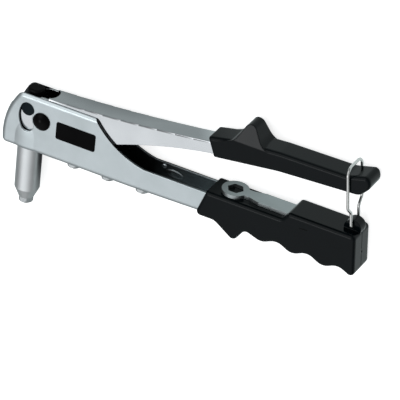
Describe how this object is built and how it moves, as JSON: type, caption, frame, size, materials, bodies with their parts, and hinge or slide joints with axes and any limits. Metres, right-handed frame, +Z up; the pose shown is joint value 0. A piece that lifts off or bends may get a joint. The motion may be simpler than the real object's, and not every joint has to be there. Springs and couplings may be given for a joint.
{
  "type": "hand riveter",
  "caption": "Closed hand-operated blind riveter with a pressed steel body, chromed lever, black moulded grips, wire handle catch and stored spanner.",
  "frame": {"origin": "the main pivot's axis, on the plane that the flat pivot head and the lower grip rest on when the tool lies on its side", "axes": "+X from the head to the handles, -Y the way the nose points, +Z up out of the plane that the tool lies on"},
  "size_m": [0.2636, 0.1222, 0.0239],
  "materials": {
    "body_steel": "satin bright steel",
    "nose_steel": "fine turned steel",
    "nosepiece_steel": "turned steel",
    "lever_chrome": "mirror bright plating",
    "dark_steel": "blackened steel",
    "jaw_steel": "hardened steel",
    "spring_steel": "drawn wire",
    "zinc_steel": "zinc plated",
    "wire_steel": "zinc plated wire",
    "grip_black": "glossy moulded",
    "cap_black": "fine moulded",
    "label_black": "smooth film"
  },
  "bodies": {
    "frame": {"body_channel": "body_steel", "nose_barrel": "nose_steel", "nosepiece": "nosepiece_steel", "spare_nosepiece_1": "nosepiece_steel", "spare_nosepiece_2": "nosepiece_steel", "spare_nosepiece_3": "nosepiece_steel", "pivot_pin": "dark_steel", "pivot_sleeve": "dark_steel", "pivot_head_near": "dark_steel", "pivot_head_far": "dark_steel", "label_plate": "label_black", "lower_grip": "grip_black"},
    "lever": {"lever_channel": "lever_chrome", "yoke_pin": "dark_steel", "upper_grip": "grip_black"},
    "case": {"jaw_case": "dark_steel", "jaw_case_front": "dark_steel", "case_cap": "cap_black", "jaw_spring": "spring_steel"},
    "pusher": {"jaw_pusher": "jaw_steel"},
    "jaw_a": {"jaw_1": "jaw_steel"},
    "jaw_b": {"jaw_2": "jaw_steel"},
    "jaw_c": {"jaw_3": "jaw_steel"},
    "bail": {"bail_wire": "wire_steel"},
    "wrench": {"wrench": "zinc_steel"}
  },
  "joints": [
    {"name": "lever_pivot", "type": "hinge", "parent": "frame", "child": "lever", "pos_m": [0, 0, 0.0113], "axis": [0, 0, 1], "range_deg": [0, 56]},
    {"name": "jaw_case_slide", "type": "slide", "parent": "frame", "child": "case", "axis": [0, -1, 0], "range_m": [0, 0.01155]},
    {"name": "jaw_1_slide", "type": "slide", "parent": "case", "child": "jaw_a", "axis": [0.1961, 0.9806, 0], "range_m": [0, 0.0016], "stiffness_N_per_m": 600, "springref_m": -0.003},
    {"name": "jaw_2_slide", "type": "slide", "parent": "case", "child": "jaw_b", "axis": [-0.0981, 0.9806, -0.1698], "range_m": [0, 0.0016]},
    {"name": "jaw_3_slide", "type": "slide", "parent": "case", "child": "jaw_c", "axis": [-0.0981, 0.9806, 0.1698], "range_m": [0, 0.0016]},
    {"name": "jaw_pusher_slide", "type": "slide", "parent": "case", "child": "pusher", "axis": [0, 1, 0], "range_m": [0, 0.00157], "deforming": ["jaw_spring"]},
    {"name": "bail_hinge", "type": "hinge", "parent": "frame", "child": "bail", "pos_m": [0.2239, 0.0025, 0.0113], "axis": [0, 0, -1], "range_deg": [0, 100]},
    {"name": "wrench_slide", "type": "slide", "parent": "frame", "child": "wrench", "axis": [-1, 0, 0], "range_m": [0, 0.025]}
  ],
  "couplings": [
    {"joint": "jaw_case_slide", "follows": "lever_pivot", "m_per_rad": 0.011814},
    {"joint": "jaw_2_slide", "follows": "jaw_1_slide", "ratio": 1},
    {"joint": "jaw_3_slide", "follows": "jaw_1_slide", "ratio": 1},
    {"joint": "jaw_pusher_slide", "follows": "jaw_1_slide", "ratio": 0.98058}
  ]
}
